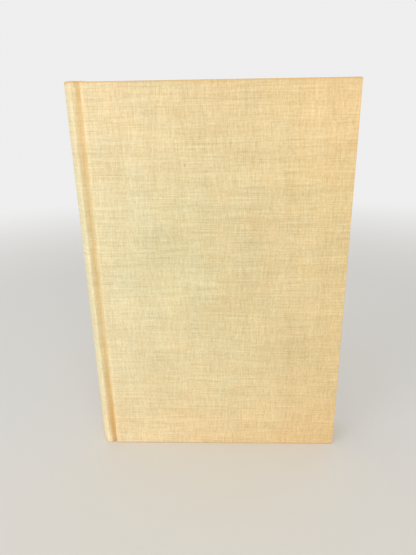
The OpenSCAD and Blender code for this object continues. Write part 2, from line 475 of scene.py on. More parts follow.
def lay_threads(piece, section, outer, height, at_back=False):
    """Gives the cloth its thread coordinates in millimetres: along its section, and up the book.

    The threads run on over the head and the tail, so there a place counts from the outer side of the cloth,
    which is the first part of the section.
    """
    points = np.array([(p.x, -p.y if at_back else p.y) for p in section.path])
    mesh = piece.data
    corners = np.array([loop.vertex_index for loop in mesh.loops])
    places = np.array([v.co for v in mesh.vertices])
    level = np.zeros(len(corners), bool)
    for face in mesh.polygons:
        if abs(face.normal.z) > LEVEL:
            level[face.loop_start:face.loop_start + face.loop_total] = True
    across, depth = (found[corners] for found in nearest(points, places[:, :2]))
    level_across, level_depth = (found[corners] for found in nearest(points[:outer], places[:, :2]))
    across = np.where(level, level_across, across)
    depth = np.where(level, level_depth, depth)
    up = places[corners, 2]
    laid = np.stack([across, np.where(up > height / 2, up + depth, up - depth)], axis=1)
    layer = mesh.uv_layers.new(name="threads")
    layer.data.foreach_set("uv", laid.astype(np.float32).ravel())


# Nodes


class Nodes:
    """Short calls that add nodes to one tree and return what the new nodes put out."""

    def __init__(self, tree):
        self.tree = tree

    def feed(self, socket, value):
        """Links an input or sets it; a colour is given without its alpha."""
        if isinstance(value, bpy.types.NodeSocket):
            self.tree.links.new(value, socket)
        elif socket.type == "RGBA":
            socket.default_value = (*value, 1.0)
        else:
            socket.default_value = value

    def add(self, kind, inputs=None, **settings):
        """Adds a shader node, sets its options, and feeds its inputs by name or number."""
        made = self.tree.nodes.new("ShaderNode" + kind)
        for key, value in settings.items():
            setattr(made, key, value)
        for key, value in (inputs or {}).items():
            self.feed(made.inputs[key], value)
        return made

    def group(self, build, **inputs):
        """Places a node group, which is built the first time."""
        name = build.__name__.removesuffix("_group")
        tree = bpy.data.node_groups.get(name) or build(name)
        return self.add("Group", inputs, node_tree=tree).outputs

    def math(self, operation, *terms):
        """A sum; the names that follow are short for the common ones."""
        return self.add("Math", dict(enumerate(terms)), operation=operation).outputs[0]

    plus = partialmethod(math, "ADD")
    minus = partialmethod(math, "SUBTRACT")
    times = partialmethod(math, "MULTIPLY")
    times_plus = partialmethod(math, "MULTIPLY_ADD")
    over = partialmethod(math, "DIVIDE")
    most = partialmethod(math, "MAXIMUM")
    least = partialmethod(math, "MINIMUM")
    unsigned = partialmethod(math, "ABSOLUTE")

    def vector(self, operation, first, second):
        """A sum of two vectors, or of a vector and a number to scale it by."""
        number = 3 if operation == "SCALE" else 1
        return self.add("VectorMath", {0: first, number: second}, operation=operation).outputs[0]

    def split(self, vector):
        """A vector's three numbers."""
        return self.add("SeparateXYZ", {0: vector}).outputs

    def join(self, x, y, z=0.0):
        """A vector of three numbers."""
        return self.add("CombineXYZ", {0: x, 1: y, 2: z}).outputs[0]

    def ramp(self, value, low, high, to_low=0.0, to_high=1.0, kind="SMOOTHSTEP"):
        """A value brought from one range to another, and held there."""
        inputs = {"Value": value, "From Min": low, "From Max": high, "To Min": to_low, "To Max": to_high}
        return self.add("MapRange", inputs, interpolation_type=kind).outputs[0]

    def noise(self, place, scale=1.0, detail=2.0, rough=0.5, stretch=None, shift=(0, 0, 0)):
        """Soft noise from 0 to 1, with its pattern stretched or moved."""
        if stretch or any(shift):
            mapping = {"Vector": place, "Scale": stretch or (1, 1, 1), "Location": shift}
            place = self.add("Mapping", mapping).outputs[0]
        inputs = {"Vector": place, "Scale": scale, "Detail": detail, "Roughness": rough}
        return self.add("TexNoise", inputs).outputs["Fac"]

    def ripple(self, *args, **settings):
        """The same noise, about 0."""
        return self.minus(self.noise(*args, **settings), 0.5)

    def rgb(self, value):
        """A colour as a socket."""
        made = self.add("RGB")
        made.outputs[0].default_value = (*value, 1.0)
        return made.outputs[0]

    def mix(self, amount, first, second):
        """A mix of two colours."""
        return self.add("Mix", {0: amount, 6: first, 7: second}, data_type="RGBA").outputs[2]

    def tint(self, base, amount, reach):
        """A colour made lighter or darker by an amount, which reaches each channel by its own share."""
        return self.group(tint_group, Colour=base, Amount=amount, Reach=reach)[0]

    def tints(self, base, *steps):
        """A colour tinted again and again, by an amount and a reach for each step."""
        for amount, reach in steps:
            base = self.tint(base, amount, reach)
        return base


class Finish(Nodes):
    """A material with one Principled BSDF."""

    def __init__(self, name):
        self.material = bpy.data.materials.new(name)
        self.material.use_nodes = True
        super().__init__(self.material.node_tree)
        self.tree.nodes.clear()
        self.shader = self.add("BsdfPrincipled")
        self.output = self.add("OutputMaterial", {"Surface": self.shader.outputs[0]})
        self.colours = bpy.context.scene.book_colours

    def place(self):
        """Object coordinates in millimetres."""
        return self.vector("SCALE", self.add("TexCoord").outputs["Object"], MM)

    def fibrous(self, place, colour, scale, reach):
        """A colour broken up by fibres, and the fibres' relief."""
        fibres = self.group(fibres_group, Place=place, Scale=scale)
        return self.tint(self.rgb(colour), fibres["Light"], reach), fibres["Height"]

    def surface(self, base, roughness, height=None, relief_mm=0.0, specular=None):
        """Feeds the shader a colour, a roughness and a relief, and returns the material."""
        inputs = {"Base Color": base, "Roughness": roughness}
        if specular is not None:
            inputs["Specular IOR Level"] = specular
        if height is not None:
            relief = {"Height": height, "Distance": relief_mm / MM}
            inputs["Normal"] = self.add("Bump", relief).outputs[0]
        for name, value in inputs.items():
            self.feed(self.shader.inputs[name], value)
        return self.material


def new_group(name, inputs, outputs):
    """A node group, with a kind and a default for each input; returns its nodes, inputs and outputs."""
    tree = bpy.data.node_groups.new(name, "ShaderNodeTree")
    for socket, (kind, value) in inputs.items():
        made = tree.interface.new_socket(socket, in_out="INPUT", socket_type="NodeSocket" + kind)
        if value is not None:
            made.default_value = value
    for socket, kind in outputs.items():
        tree.interface.new_socket(socket, in_out="OUTPUT", socket_type="NodeSocket" + kind)
    return Nodes(tree), tree.nodes.new("NodeGroupInput").outputs, tree.nodes.new("NodeGroupOutput").inputs


def tint_group(name):
    """The sum behind every tint: each channel is multiplied by 1 plus its share of the amount."""
    inputs = {"Colour": ("Color", None), "Amount": ("Float", 0.0), "Reach": ("Vector", None)}
    n, given, out = new_group(name, inputs, {"Colour": "Color"})
    factor = n.vector("ADD", n.vector("SCALE", given["Reach"], given["Amount"]), (1, 1, 1))
    n.feed(out["Colour"], n.vector("MULTIPLY", given["Colour"], factor))
    return n.tree


def weave_group(name):
    """Plain weave with uneven threads, from thread coordinates in millimetres.

    Height is the relief. Slubs goes up and down along each thread about 0, and Gap is 1 between the threads.
    """
    inputs = {"Threads": ("Vector", None), "Pitch": ("Float", 0.5), "Wander": ("Float", 1.0)}
    n, given, out = new_group(name, inputs, {"Height": "Float", "Slubs": "Float", "Gap": "Float"})
    grid = n.vector("SCALE", given["Threads"], n.over(1.0, given["Pitch"]))
    split = n.split(grid)
    # A thread wanders slowly along its own run and quickly from one thread to the next
    slow, quick = 0.035, 0.9
    waves, threads = [], []
    for axis, stretch, shift in ((0, (quick, slow, 1), (3, 7, 0)), (1, (slow, quick, 1), (11, 2, 0))):
        wander = n.ripple(grid, detail=1.0, stretch=stretch, shift=shift)
        moved = n.times_plus(wander, given["Wander"], split[axis])
        waves.append(n.math("SINE", n.times(moved, math.pi)))
        threads.append(n.math("FLOOR", moved))
    over = n.times(*waves)
    level, lift = 0.62, 0.38
    heights = [n.times(n.unsigned(wave), n.times_plus(over, side, level))
               for wave, side in zip(waves, (lift, -lift))]
    height = n.most(*heights)
    # Each thread reads its own row of a soft noise, slowly along its run
    apart = 1.37
    slubs = []
    for thread, along, run, row in ((threads[0], split[1], 0.06, 0), (threads[1], split[0], 0.02, 9)):
        place = n.join(n.times(thread, apart), n.times(along, run), row)
        slubs.append(n.ripple(place, rough=0.6))
    both = n.times_plus(slubs[0], 0.75, n.times(slubs[1], 0.72))
    on_top = n.add("Mix", {0: n.ramp(over, -0.3, 0.3), 2: slubs[1], 3: slubs[0]}).outputs[0]
    slub = n.plus(both, on_top)
    n.feed(out["Height"], n.times_plus(slub, 0.8, height))
    n.feed(out["Slubs"], slub)
    n.feed(out["Gap"], n.ramp(height, 0.45, 0.05))
    return n.tree


def mottles_group(name):
    """Blotches of aged cloth about 0, from coordinates in millimetres.

    Tone is light and dark, in streaks along both threads and in clouds. Hue is warm and cool.
    """
    n, given, out = new_group(name, {"Place": ("Vector", None)}, {"Tone": "Float", "Hue": "Float"})
    across, upright, clouds = [
        n.ripple(given["Place"], rough=0.6, stretch=stretch, shift=shift)
        for stretch, shift in (((0.016, 0.016, 0.15), (4, 0, 1)), ((0.13, 0.13, 0.014), (9, 3, 5)),
                               ((0.03, 0.03, 0.03), (2, 8, 3)))]
    n.feed(out["Tone"], n.plus(n.plus(across, upright), clouds))
    n.feed(out["Hue"], n.ripple(given["Place"], stretch=(0.07, 0.07, 0.07), shift=(1, 5, 9)))
    return n.tree


def specks_group(name):
    """Small round specks, few and far between, from coordinates in millimetres."""
    inputs = {"Place": ("Vector", None), "Spacing": ("Float", 22.0)}
    n, given, out = new_group(name, inputs, {"Mask": "Float"})
    x, y, z = n.split(given["Place"])
    # The specks lie in a flat pattern, which runs with X along the covers and with Y across the spine
    cells = n.add("TexVoronoi", {"Vector": n.join(n.plus(x, y), z), "Scale": n.over(1.0, given["Spacing"])},
                  voronoi_dimensions="2D").outputs
    chance = n.add("SeparateColor", {0: cells["Color"]}).outputs
    smallest, spread, share = 0.012, 0.03, 0.5
    radius = n.times_plus(chance[0], spread, smallest)
    near = n.ramp(n.over(cells["Distance"], radius), 1.0, 0.1)
    chosen = n.math("GREATER_THAN", chance[1], share)
    n.feed(out["Mask"], n.times(n.times(near, chosen), chance[2]))
    return n.tree


def fibres_group(name):
    """Fibres of paper or board, from coordinates in millimetres.

    Light is light and dark about 0, and Height is the relief.
    """
    n, given, out = new_group(name, {"Place": ("Vector", None), "Scale": ("Float", 1.0)},
                              {"Light": "Float", "Height": "Float"})
    place = n.vector("SCALE", given["Place"], given["Scale"])
    pulp = n.ripple(place, detail=4.0, rough=0.65)
    # A strand runs where a stretched noise crosses 0
    strands = [n.ramp(n.unsigned(n.ripple(place, detail=1.0, stretch=stretch, shift=shift)), 0.05, 0.0)
               for stretch, shift in (((0.3, 0.9, 0.9), (3, 1, 8)), ((0.9, 0.9, 0.3), (7, 5, 2)))]
    both = n.plus(*strands)
    for output, strength in (("Light", 0.12), ("Height", 0.3)):
        n.feed(out[output], n.times_plus(both, strength, pulp))
    return n.tree


def blob(n, place, centre, radius):
    """1 at a centre in millimetres, falling smoothly to 0 at a radius from it, however deep in the book."""
    flat = n.vector("MULTIPLY", place, (1, 0, 1))
    gap = n.add("VectorMath", {0: flat, 1: centre}, operation="DISTANCE").outputs["Value"]
    return n.ramp(gap, radius, 0.0)


# Materials


def joint_browning_and_shadow(n, place, x, z, from_middle, turn_in):
    """Masks of the aged strip in a joint, which at the tail also carries a painted shadow, and of the parts
    of the book near the tail and near the head.
    """
    # The strip narrows at its ends, more so at the head, and keeps further from the board at mid-height
    narrowed = n.minus(x, n.ramp(from_middle, COVER_H / 2 - turn_in, COVER_H / 2, 0.0, 1.2))
    narrowed = n.minus(narrowed, n.ramp(z, COVER_H - 45, COVER_H - 10, 0.0, 0.7))
    to_board = n.plus(x, n.ramp(from_middle, 60.0, COVER_H / 2, 0.35, 0.0))
    strip = n.times(n.ramp(narrowed, WALL_X - 1.7, WALL_X + 0.8),
                    n.ramp(to_board, COVER_X - 0.1, COVER_X - 1.0))
    patches = n.noise(place, detail=3.0, rough=0.6, stretch=(0.25, 0.25, 0.07))
    strip = n.times(strip, n.ramp(patches, 0.3, 0.7, 0.72, 1.28, kind="LINEAR"))
    return strip, n.ramp(z, JOINT_TAIL_TO, 0.0), n.ramp(z, HEAD_FROM, COVER_H)


def linen_material():
    """Linen cloth in its own thread coordinates, made lighter, darker and warmer by its place on the book,
    with painted light on the spine and along the boards' edges at the joints, and painted shade between the
    threads and at the joints' tail.
    """
    size = values()
    n = Finish("linen")
    threads = n.add("UVMap", uv_map="threads").outputs[0]
    weave = n.group(weave_group, Threads=threads, Pitch=size.thread_pitch)
    place = n.place()
    x, _, z = n.split(place)
    from_middle = n.unsigned(n.minus(z, COVER_H / 2))
    mottles = n.group(mottles_group, Place=place)
    grain = n.ripple(threads, scale=0.75)
    strip, at_tail, at_head = joint_browning_and_shadow(n, place, x, z, from_middle, size.turn_in)
    base = n.tints(
        n.rgb(n.colours.linen),
        # Large fields: paler on and beside the spine, on the spine partly as painted light, along the boards'
        # edges at the joints as a painted highlight with some rubbing of the cloth, and at the fore-edge's
        # head, greener in the middle, and warmer towards the fore-edge, the head and the tail
        (n.ramp(x, COVER_X, SPINE_SIDE_TO, 1.0, 0.0), SPINE_SIDE),
        (n.ramp(x, 0.0, FORE_X), FORE_SIDE),
        # Painted light: the spine paler, partly faded cloth and partly light on its round and shoulders
        (n.ramp(x, WALL_X - 1.0, WALL_X - 2.0), SPINE_FADING_AND_LIGHT),
        # Painted highlight along each board's edge at the joint, with some rubbing of the cloth
        (n.ramp(n.unsigned(n.minus(x, COVER_X + 0.7)), 1.5, 0.5), BOARD_EDGE_HIGHLIGHT_AND_RUB),
        (n.ramp(z, HEAD_FROM, COVER_H), AT_HEAD),
        (n.ramp(z, TAIL_TO, 0.0), AT_TAIL),
        (blob(n, place, *MIDDLE_FIELD), IN_MIDDLE),
        (blob(n, place, *FORE_HEAD_FIELD), FORE_HEAD),
        (n.ramp(x, FORE_X - 1.3, FORE_X - 0.5), FORE_RIM),
        # The cloth itself, with painted shade between its threads
        (mottles["Tone"], MOTTLE_TONE),
        (mottles["Hue"], MOTTLE_HUE),
        (weave["Slubs"], SLUBS),
        (grain, GRAIN),
        # Painted shade in the gaps between the threads
        (weave["Gap"], THREAD_GAP_SHADE),
        # The joints, darker at the tail, partly browning and partly a painted shadow, and lighter at the head
        (n.times(strip, at_tail), JOINT_TAIL_BROWNING_AND_SHADOW),
        (n.times(strip, at_head), JOINT_HEAD),
    )
    # Browned cloth in the joints, most at the tail, and along the rims at head and tail
    everywhere, more_at_tail, more_at_head, at_rims = 0.30, 0.36, 0.14, 0.5
    strength = n.times_plus(at_tail, more_at_tail, n.times_plus(at_head, more_at_head, everywhere))
    rims = n.ramp(from_middle, COVER_H / 2 - 1.1, COVER_H / 2 - 0.2, 0.0, at_rims)
    base = n.mix(n.most(n.times(strip, strength), rims), base, n.colours.toned)
    specks = n.group(specks_group, Place=place)
    base = n.mix(n.times(specks["Mask"], 0.6), base, n.colours.foxing)
    return n.surface(base, roughness=0.85, height=weave["Height"], relief_mm=0.09, specular=0.25)


def endpaper_material():
    """Cream paper, browned towards its open edges and the fold."""
    n = Finish("endpaper")
    place = n.place()
    x, _, z = n.split(place)
    base, height = n.fibrous(place, n.colours.paper, scale=2.2, reach=(0.10, 0.12, 0.16))
    clouds = n.ripple(place, scale=0.03, detail=3.0)
    from_edge = n.least(n.minus(PASTE_HIGH.x, x), n.least(n.minus(z, PASTE_LOW.z), n.minus(PASTE_HIGH.z, z)))
    uneven = n.times_plus(clouds, 22.0, from_edge)
    base = n.tints(base, (clouds, (0.06, 0.09, 0.16)), (n.ramp(uneven, 16.0, -1.0), (-0.09, -0.15, -0.30)),
                   (n.ramp(x, COVER_X + 7, COVER_X - 2), (-0.05, -0.09, -0.20)))
    specks = n.group(specks_group, Place=place, Spacing=26.0)
    base = n.mix(n.times(specks["Mask"], 0.5), base, n.colours.foxing)
    return n.surface(base, roughness=0.75, height=height, relief_mm=0.02)


def pages_material(leaves):
    """Page edges: each leaf a little lighter or darker, with shade between leaves and dust at the head."""
    n = Finish("pages")
    place = n.place()
    z = n.split(place)[2]
    base, height = n.fibrous(place, n.colours.page_edge, scale=2.5, reach=(0.10, 0.12, 0.15))
    per_mm = leaves / (PAGES_HIGH.y - PAGES_LOW.y)
    leaf = n.noise(place, rough=0.7, stretch=(0.012, per_mm, 0.012))
    ten_leaves = n.ripple(place, detail=1.0, stretch=(0.006, per_mm / 10, 0.006), shift=(4, 2, 7))
    base = n.mix(n.ramp(leaf, 0.50, 0.34, 0.0, 0.45), base, n.colours.page_gap)
    base = n.tint(base, ten_leaves, (0.16, 0.20, 0.28))
    clouds = n.noise(place, scale=0.06, detail=3.0, rough=0.6)
    dusty = n.times(n.ramp(z, PAGES_HIGH.z - 1.0, PAGES_HIGH.z), clouds)
    base = n.tint(base, dusty, (-0.10, -0.14, -0.18))
    relief = n.times_plus(leaf, 2.0, height)
    return n.surface(base, roughness=0.85, height=relief, relief_mm=0.03)


def gauze_material():
    """Open gauze: starched threads with glue showing brown between them."""
    n = Finish("gauze")
    x, y, z = n.split(n.place())
    weave = n.group(weave_group, Threads=n.join(n.plus(x, y), z), Pitch=1.1, Wander=0.6)
    base = n.tint(n.rgb(n.colours.gauze), weave["Slubs"], (0.2, 0.22, 0.28))
    base = n.mix(weave["Gap"], base, n.colours.lining)
    return n.surface(base, roughness=0.9, height=weave["Height"], relief_mm=0.15)


def board_material():
    """Greyboard: pressed pulp with light and dark flecks."""
    n = Finish("greyboard")
    place = n.place()
    base, height = n.fibrous(place, n.colours.board, scale=1.2, reach=(0.5, 0.5, 0.5))
    for spacing, fleck in ((3.0, (0.55, 0.50, 0.42)), (4.1, (0.14, 0.12, 0.10))):
        base = n.mix(n.group(specks_group, Place=place, Spacing=spacing)["Mask"], base, fleck)
    return n.surface(base, roughness=0.9, height=height, relief_mm=0.05)


def lining_material():
    """Brown wrapping paper with its ribs along the spine."""
    n = Finish("lining")
    place = n.place()
    base, height = n.fibrous(place, n.colours.lining, scale=1.8, reach=(0.25, 0.28, 0.32))
    ribs = n.ripple(place, detail=1.0, stretch=(1.4, 1.4, 0.02))
    base = n.tint(base, ribs, (0.25, 0.28, 0.30))
    return n.surface(base, roughness=0.8, height=n.plus(height, ribs), relief_mm=0.03)


def headband_material():
    """Cotton thread, a little soiled."""
    n = Finish("headband")
    place = n.place()
    base, height = n.fibrous(place, n.colours.band, scale=4.0, reach=(0.18, 0.20, 0.26))
    base = n.tint(base, n.ripple(place, scale=0.35, detail=3.0, rough=0.6), (0.22, 0.28, 0.42))
    return n.surface(base, roughness=0.85, height=height, relief_mm=0.06)


# Pieces


class Joint:
    """Where the cloth of a front joint runs: from the shoulder's top down a slope onto the groove's bottom.

    The spine's cloth meets the cover's half way down the slope, on the line where the joint's blend starts.
    """

    def __init__(self, size):
        self.turn = math.degrees(size.groove_slope)
        self.down = Vector((math.cos(size.groove_slope), math.sin(size.groove_slope)))
        self.inward = Vector((-self.down.y, self.down.x))
        arcs = (size.shoulder_r + size.groove_soft_r) * (1 - self.down.x)
        half = self.down * (size.groove_drop - arcs) / self.down.y / 2
        shoulder_end = -SHOULDER_Y + size.shoulder_r * (1 - self.down.x)
        self.seam = Vector((WALL_X, shoulder_end + half.y))
        self.high, self.low = self.seam - half, self.seam + half
        self.shoulder = self.high + self.inward * size.shoulder_r
        self.groove = self.low - self.inward * size.groove_soft_r
        self.floor_y = -SHOULDER_Y + size.groove_drop

    def at(self, point, inset):
        """A point at an inset from the cloth's outer face."""
        return point + self.inward * inset


def cover_section(size):
    """The section of a cover with its half of the joint: outer side first, then the inner side."""
    joint, r, doubled = Joint(size), size.groove_r, 2 * CLOTH_T
    section = Section("front_linen", *joint.seam)
    section.line(*joint.low)
    section.arc(*joint.groove, -joint.turn, SLOPE_PARTS)
    section.line(COVER_X - r, joint.floor_y, GROOVE_PARTS)
    section.arc(COVER_X - r, joint.floor_y - r, -90, BLEND_PARTS)
    section.line(COVER_X, -HALF_T)
    section.line(FORE_X, -HALF_T)
    section.line(FORE_X, -HALF_T + CASE_T)
    section.line(COVER_X + CLOTH_T, -HALF_T + CASE_T)
    section.line(COVER_X - r, joint.floor_y + doubled, FLAT_PARTS)
    section.line(joint.groove.x, joint.floor_y + doubled, GROOVE_PARTS)
    section.arc(*joint.groove, joint.turn, SLOPE_PARTS)
    section.line(*joint.at(joint.seam, doubled))
    section.close()
    return section


def is_sharp(edge):
    """Whether an edge is a corner that the cloth turns over."""
    return edge.is_manifold and edge.calc_face_angle() > CORNER_ANGLE


def round_rims(size, test):
    """Rounds a skin's rims and cuts its ends into bands; returns how far in from a rim the first cut lies."""
    round_off(test, "rim", size.rim_r, RIM_PARTS)
    hold = size.rim_r + RIM_HOLD
    for step in (hold, *END_BANDS, size.turn_in):
        cut(2, step)
        cut(2, COVER_H - step)
    return hold


def cover_skin(size):
    """The outside of a cover's cloth, with its rounded corners and rims and its turned-in sides."""
    section = cover_section(size)
    section.rise(COVER_H)
    joint = Joint(size)
    edge = Vector((COVER_X, -HALF_T))

    def at_seam(face):
        place = face.calc_center_median()
        upright = abs(face.normal.z) < UPRIGHT and place.x < joint.seam.x
        return upright and abs((place.to_2d() - joint.seam).dot(joint.down)) < NEAR

    def in_window(face):
        place = face.calc_center_median()
        bare = place.x < FORE_X - size.turn_in and size.turn_in < place.z < COVER_H - size.turn_in
        return bare and face.normal.y > INWARDS

    erase(at_seam, "seam")
    round_off(lambda e: all((v.co.to_2d() - edge).length < NEAR for v in e.verts),
              "board edge along the joint", size.board_edge_r, EDGE_PARTS)
    for z, radius in ((0.0, size.tail_corner_r), (COVER_H, size.head_corner_r)):
        round_off(lambda e: all(abs(v.co.x - FORE_X) < NEAR and abs(v.co.z - z) < NEAR for v in e.verts),
                  "fore-edge corner", radius, CORNER_PARTS)
    hold = round_rims(size, is_sharp)
    for x in (COVER_X + hold, COVER_X + 2, COVER_X + LIFT_REACH, FORE_X - hold, FORE_X - size.turn_in):
        cut(0, x)
    for y in (-HALF_T + hold, -HALF_T + CASE_T - hold):
        cut(1, y)
    erase(in_window, "window")
    free_hands()
    return section


def spine_places(size):
    """The round's centre, its radius, its half angle, and the blend's centre."""
    radius = (SHOULDER_Y**2 + size.spine_round**2) / (2 * size.spine_round)
    round_x = radius - FORE_X
    blend_y = SHOULDER_Y - size.blend_r
    blend_x = round_x - math.sqrt((radius - size.blend_r) ** 2 - blend_y**2)
    return round_x, radius, math.degrees(math.asin(blend_y / (radius - size.blend_r))), blend_x, blend_y


def spine_skin(size):
    """The outside of the spine's cloth, from groove wall to groove wall, with its caps."""
    round_x, radius, angle, blend_x, blend_y = spine_places(size)
    joint = Joint(size)
    doubled = 2 * CLOTH_T
    turn = math.radians(angle)

    def joint_and_round(name, inset, round_inset):
        """One side of the cloth, at an inset from its outer face; the inlay makes it wider on the round."""
        seam, high = joint.at(joint.seam, inset), joint.at(joint.high, inset)
        path = Section(name, *seam)
        path.line(*high)
        path.arc(*joint.shoulder, -joint.turn, SHOULDER_PARTS)
        path.line(blend_x, -SHOULDER_Y + inset, 2)
        path.arc(blend_x, -blend_y, angle - 90, BLEND_PARTS)
        round_r = radius - round_inset
        step = turn * (1 - 2 / ROUND_PARTS)
        path.line(round_x - round_r * math.cos(step), -round_r * math.sin(step))
        path.arc(round_x, 0, -2 * math.degrees(step), ROUND_PARTS - 2)
        end_r = radius - inset
        path.line(round_x - end_r * math.cos(turn), end_r * math.sin(turn))
        path.arc(blend_x, blend_y, angle - 90, BLEND_PARTS)
        path.line(joint.shoulder.x, SHOULDER_Y - inset, 2)
        path.arc(joint.shoulder.x, -joint.shoulder.y, -joint.turn, SHOULDER_PARTS)
        path.line(seam.x, -seam.y)
        return path

    def at_seam(face):
        place, to = face.calc_center_median(), face.normal
        along = Vector((joint.down.x, math.copysign(joint.down.y, -place.y)))
        upright = abs(to.z) < UPRIGHT and abs(place.x - WALL_X) < 1
        return upright and to.to_2d().normalized().dot(along) > ALONG_SLOPE

    def in_window(face):
        place, to = face.calc_center_median(), face.normal
        joint_side = place.x > joint.shoulder.x - NEAR
        side = to.x < 0 if joint_side else to.dot(place - Vector((round_x, 0, place.z))) < 0
        return side and size.turn_in < place.z < COVER_H - size.turn_in

    inner = joint_and_round("spine_turn_in", doubled, doubled + size.inlay_t)
    section = joint_and_round("spine_linen", 0, 0)
    take(inner.piece, section.piece)
    bpy.ops.object.join()
    bpy.ops.object.mode_set(mode="EDIT")
    bpy.ops.mesh.select_mode(type="EDGE")
    select_all()
    bpy.ops.mesh.bridge_edge_loops()
    section.rise(COVER_H)
    erase(at_seam, "seams")
    round_rims(size, lambda e: is_sharp(e) and abs(e.verts[0].co.z - e.verts[1].co.z) < NEAR)
    erase(in_window, "window")
    free_hands()
    return section


def ease(value, low, high):
    """0 below a range, 1 above it and smooth between."""
    part = min(max((value - low) / (high - low), 0.0), 1.0)
    return part * part * (3 - 2 * part)


def fill_joint_ends(piece, size):
    """Fills the grooves at their ends, where the turned-in cloth makes them full, and lifts the spine's cap.

    The filling reaches from the slope to the board, and the swelling at the tail from the shoulder on. The
    seam between the spine's cloth and a cover's is moved alike in both, so it stays closed.
    """
    # How far in from an end the effect is full, and the place by the board where it stops
    full, board_side = 1.0, COVER_X - 0.6
    for vertex in piece.data.vertices:
        x, y, z = vertex.co
        if x > COVER_X + size.turn_in:
            continue
        end = 1 - ease(min(z, COVER_H - z), full, size.turn_in)
        moved = ease(x, WALL_X - 1.5, WALL_X + 0.3) * (1 - ease(x, WALL_X + 0.6, board_side)) * size.end_fill
        if z < COVER_H / 2:
            moved += ease(x, WALL_X - 6, WALL_X - 2.5) * (1 - ease(x, WALL_X, board_side)) * size.tail_swell
        if abs(y) > SHOULDER_Y / 2:
            vertex.co.y += math.copysign(end * moved, y)
        lifted = 1 - ease(x, COVER_X, COVER_X + LIFT_REACH)
        vertex.co.z += (SPINE_H - COVER_H) * lifted * ease(z, COVER_H - size.turn_in, COVER_H)


def make_linen(size):
    """The cover cloth as three sheets: the spine's, and one for each cover with its joint."""
    linen = linen_material()
    section = cover_skin(size)
    front = section.piece
    fill_joint_ends(front, size)
    back = mirror_to_back(front, "back_linen")
    outer = section.path.index(Vector((FORE_X, -HALF_T))) + 1
    for piece, body, at_back in ((front, "front_cover", False), (back, "back_cover", True)):
        thicken(piece, SKIN_T)
        lay_threads(piece, section, outer, COVER_H, at_back)
        hand_over(piece, linen, body.replace("cover", "cloth"), body)
    section = spine_skin(size)
    spine = section.piece
    fill_joint_ends(spine, size)
    thicken(spine, SKIN_T)
    lay_threads(spine, section, len(section.path), SPINE_H)
    hand_over(spine, linen, "spine_cloth")


def make_gauze(size):
    """The gauze round the back of the pages, and its flange on the inside of each board."""
    material = gauze_material()
    round_x = spine_places(size)[0]
    face_x, bottom, height = GAUZE_FACE_X, GAUZE_LOW.z, GAUZE_HIGH.z - GAUZE_LOW.z
    start_y, reach = GAUZE_LOW.y, MULL_HIGH_Y
    radius = math.hypot(round_x - face_x, reach)
    turn = math.degrees(math.atan2(reach, round_x - face_x))
    section = Section("spine_gauze", WALL_X, start_y, bottom)
    section.line(face_x, start_y)
    section.line(face_x, -reach)
    section.arc(round_x, 0, -2 * turn, BAND_PARTS)
    section.line(face_x, -start_y)
    section.line(WALL_X, -start_y)
    spine = section.rise_open(height, -1, 0, 0)
    flange = Section("front_gauze", GAUZE_HIGH.x, start_y, bottom)
    flange.line(COVER_X + BEND_REACH, start_y, FLANGE_PARTS // 2)
    flange.line(WALL_X, start_y, FLANGE_PARTS)
    front = flange.rise_open(height, 0, -1, 0)
    back = mirror_to_back(front, "back_gauze")
    across = size.gauze_t + 2 * radius * math.radians(turn) + 2 * (reach + start_y) + 2 * (WALL_X - face_x)
    on_board = GAUZE_HIGH.x - WALL_X
    for piece, cover, width, stands_for, support in (
        (spine, None, across, "spine_mull", "spine_lining"),
        (front, "front_cover", on_board, "front_mull", "front_board"),
        (back, "back_cover", on_board, "back_mull", "back_board"),
    ):
        thicken(piece, size.gauze_t)
        hand_over(piece, material, stands_for, cover)


def make_endpapers(size):
    """Each endpaper: the half pasted inside a cover, and the fold with the free half against the pages."""
    material = endpaper_material()
    bottom, height = PASTE_LOW.z, PASTE_HIGH.z - PASTE_LOW.z
    case_y = CLOTH_HIGH.y
    sink = PASTE_LOW.y - case_y
    section = Section("front_endpaper", PASTE_HIGH.x, case_y, bottom)
    section.line(COVER_X + BEND_REACH, case_y)
    section.line(WALL_X, case_y, FLANGE_PARTS)
    front = section.rise_open(height, 0, -1, 0)
    slope = 2 * CLOTH_T
    left, right, low, high = GAUZE_HIGH.x, FORE_X - size.turn_in, size.turn_in, COVER_H - size.turn_in
    for axis, start, end in ((0, left, right), (2, low, high)):
        for at in (start, start + slope / 2, start + slope, end - slope, end - slope / 2, end):
            cut(axis, at)
    # The paper sinks into the window between the turned-in edges, half way on its slope and fully inside it
    for inset in (slope / 4, slope * 3 / 4):
        pick("VERT", lambda v: left + inset < v.co.x < right - inset and low + inset < v.co.z < high - inset,
             "window")
        bpy.ops.transform.translate(value=(0, sink / 2, 0))
    free_hands()
    back = mirror_to_back(front, "back_endpaper")
    radius = (LEAF_HIGH.y - case_y) / 2
    fold = Section("front_leaf", WALL_X, case_y, bottom)
    fold.line(FOLD_X + radius, case_y)
    fold.arc(FOLD_X + radius, case_y + radius, -180, FOLD_PARTS)
    fold.line(LEAF_HIGH.x, LEAF_HIGH.y, FLAT_PARTS)
    front_leaf = fold.rise_open(height, 0, 1, 0)
    back_leaf = mirror_to_back(front_leaf, "back_leaf")
    for piece, cover, stands_for in (
        (front, "front_cover", "front_pastedown"), (back, "back_cover", "back_pastedown"),
        (front_leaf, None, "front_flyleaf"), (back_leaf, None, "back_flyleaf"),
    ):
        thicken(piece, size.paper_t)
        hand_over(piece, material, stands_for, cover, smooth=60.0)


